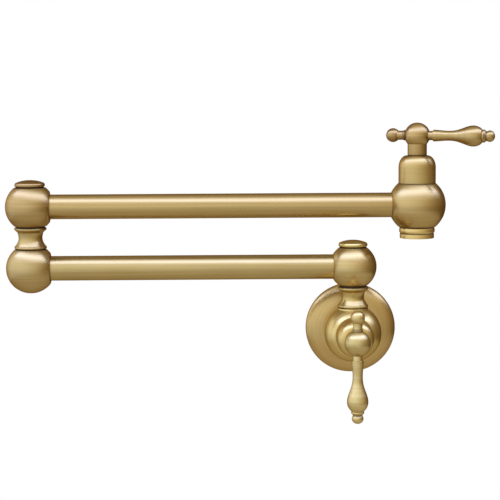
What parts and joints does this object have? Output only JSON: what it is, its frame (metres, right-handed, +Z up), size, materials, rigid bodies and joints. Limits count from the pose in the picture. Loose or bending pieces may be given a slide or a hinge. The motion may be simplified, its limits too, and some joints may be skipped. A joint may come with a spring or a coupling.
{
  "type": "wall mounted pot filler",
  "caption": "Wall mounted folding pot filler: valve on a round flange, swinging lower and upper arms, and an outlet valve above an aerator, both with lever handles.",
  "frame": {"origin": "where the inlet valve's axis meets the wall", "axes": "+Z up, +Y into the wall so that the front faces -Y, +X to the right seen from the front; the arms are folded over each other along X"},
  "size_m": [0.4167, 0.1335, 0.2494],
  "materials": {
    "satin_brass": "brushed, warm satin gold",
    "raw_brass": "machined",
    "steel": "machined stainless steel",
    "ceramic": "lapped alumina ceramic",
    "rubber": "moulded",
    "nylon": "turned bronze-filled bearing plastic",
    "white_plastic": "moulded"
  },
  "bodies": {
    "wall_valve": {"wall_flange": "satin_brass", "flange_gasket": "rubber", "flange_o_ring": "rubber", "inlet_shank": "raw_brass", "inlet_valve_body": "satin_brass", "inlet_seat_seal": "rubber", "inlet_fixed_disc": "ceramic", "inlet_cartridge": "raw_brass", "inlet_cartridge_o_ring": "rubber", "inlet_spindle_o_ring": "rubber", "inlet_bonnet": "satin_brass", "riser_spool": "satin_brass", "riser_stem": "raw_brass", "riser_seat_washer": "nylon", "riser_lower_o_ring": "rubber", "riser_upper_o_ring": "rubber", "riser_thrust_washer": "nylon", "riser_retaining_nut": "steel"},
    "inlet_handle": {"inlet_moving_disc": "ceramic", "inlet_spindle": "raw_brass", "inlet_spindle_clip": "steel", "inlet_handle_hub": "satin_brass", "inlet_handle_lever": "satin_brass", "inlet_handle_finial": "satin_brass", "inlet_handle_set_screw": "steel"},
    "lower_arm": {"riser_ball": "satin_brass", "riser_cap": "satin_brass", "lower_tube": "satin_brass", "elbow_lower_ball": "satin_brass", "elbow_spool": "satin_brass", "elbow_stem": "raw_brass", "elbow_seat_washer": "nylon", "elbow_lower_o_ring": "rubber", "elbow_upper_o_ring": "rubber", "elbow_thrust_washer": "nylon", "elbow_retaining_nut": "steel"},
    "upper_arm": {"elbow_upper_ball": "satin_brass", "elbow_cap": "satin_brass", "upper_tube": "satin_brass", "outlet_valve_body": "satin_brass", "outlet_seat_seal": "rubber", "outlet_fixed_disc": "ceramic", "outlet_cartridge": "raw_brass", "outlet_cartridge_o_ring": "rubber", "outlet_spindle_o_ring": "rubber", "outlet_bonnet": "satin_brass", "aerator_housing": "satin_brass", "aerator_washer": "rubber", "aerator_insert": "white_plastic"},
    "outlet_handle": {"outlet_moving_disc": "ceramic", "outlet_spindle": "raw_brass", "outlet_spindle_clip": "steel", "outlet_handle_hub": "satin_brass", "outlet_handle_lever": "satin_brass", "outlet_handle_finial": "satin_brass", "outlet_handle_set_screw": "steel"}
  },
  "joints": [
    {"name": "riser_swivel", "type": "hinge", "parent": "wall_valve", "child": "lower_arm", "pos_m": [0, -0.038, 0.058], "axis": [0, 0, 1], "range_deg": [-3, 183]},
    {"name": "elbow_swivel", "type": "hinge", "parent": "lower_arm", "child": "upper_arm", "pos_m": [-0.277, -0.038, 0.111], "axis": [0, 0, 1], "continuous": true},
    {"name": "inlet_valve_turn", "type": "hinge", "parent": "wall_valve", "child": "inlet_handle", "pos_m": [0, -0.0975, 0], "axis": [0, -1, 0], "range_deg": [0, 90]},
    {"name": "outlet_valve_turn", "type": "hinge", "parent": "upper_arm", "child": "outlet_handle", "pos_m": [0.055, -0.038, 0.1705], "axis": [0, 0, 1], "range_deg": [-70, 20]}
  ]
}
